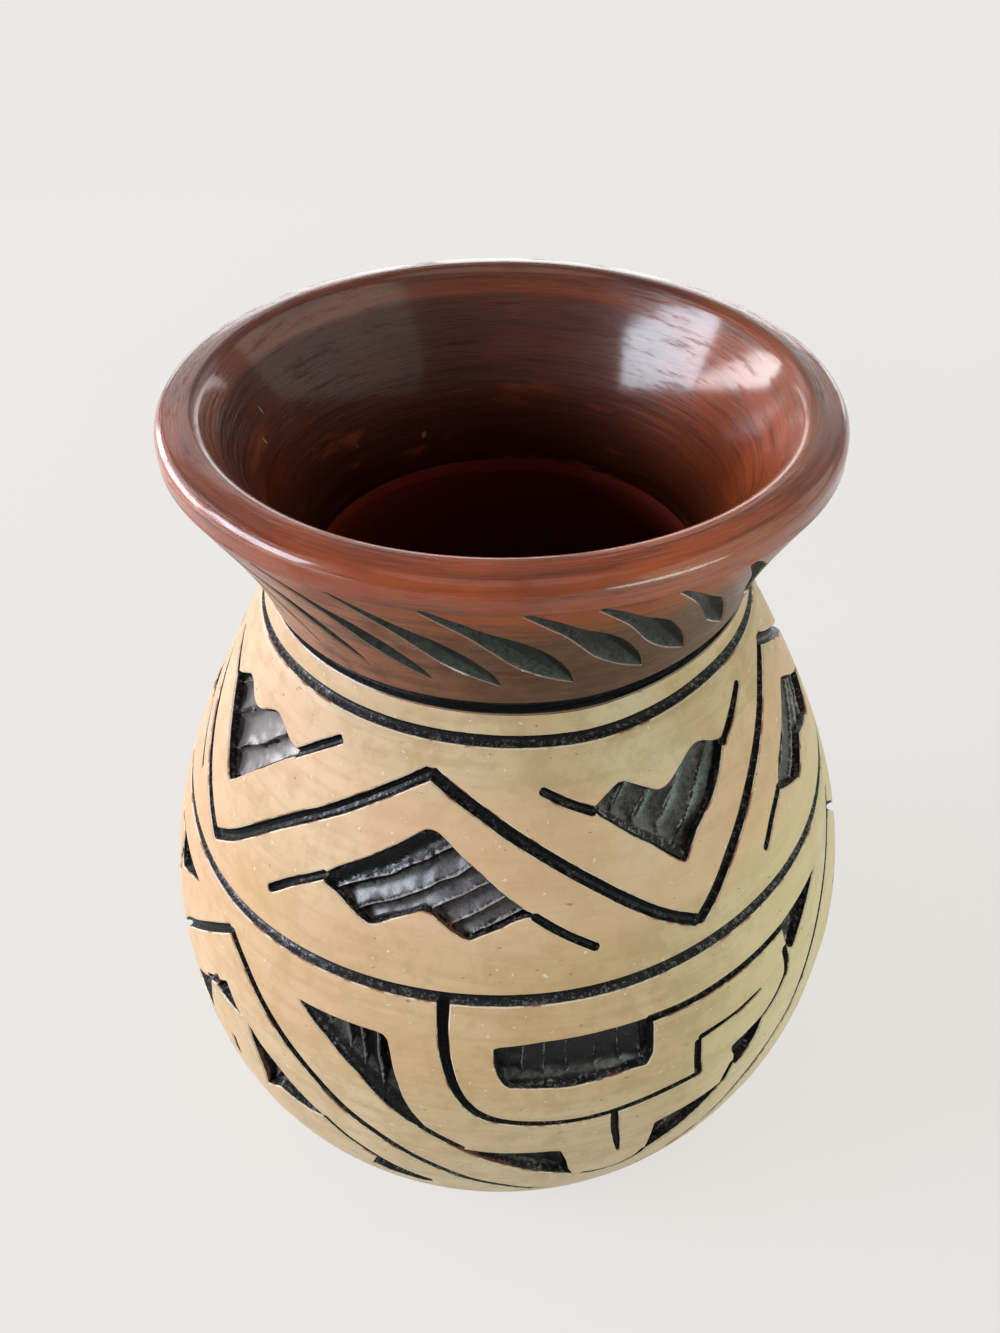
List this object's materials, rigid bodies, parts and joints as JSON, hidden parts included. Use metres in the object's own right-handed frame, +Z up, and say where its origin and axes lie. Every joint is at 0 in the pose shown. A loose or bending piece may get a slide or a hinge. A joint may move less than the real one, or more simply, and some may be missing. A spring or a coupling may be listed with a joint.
{
  "type": "carved vase",
  "caption": "Round-bodied earthenware vase with a flaring neck and rolled rim; cream body carved with stepped triangles and zigzags, and a burnished red-brown neck with leaf-shaped gouges.",
  "frame": {"origin": "middle of the flat face that the vase stands on", "axes": "+Z up along the vase's axis of rotation, -Y towards the viewer of the picture, +X to the viewer's right"},
  "size_m": [0.1882, 0.1882, 0.2262],
  "materials": {
    "bare_clay": "smoothed bare redware clay",
    "cream_slip": "satin cream slip over redware, cut through to smoke-blackened clay",
    "red_slip": "burnished glossy red-brown slip"
  },
  "bodies": {
    "root": {"base_disc": "bare_clay", "lower_bowl": "cream_slip", "shoulder": "cream_slip", "collar_coil": "cream_slip", "neck": "red_slip", "rim_coil": "red_slip"}
  },
  "joints": []
}
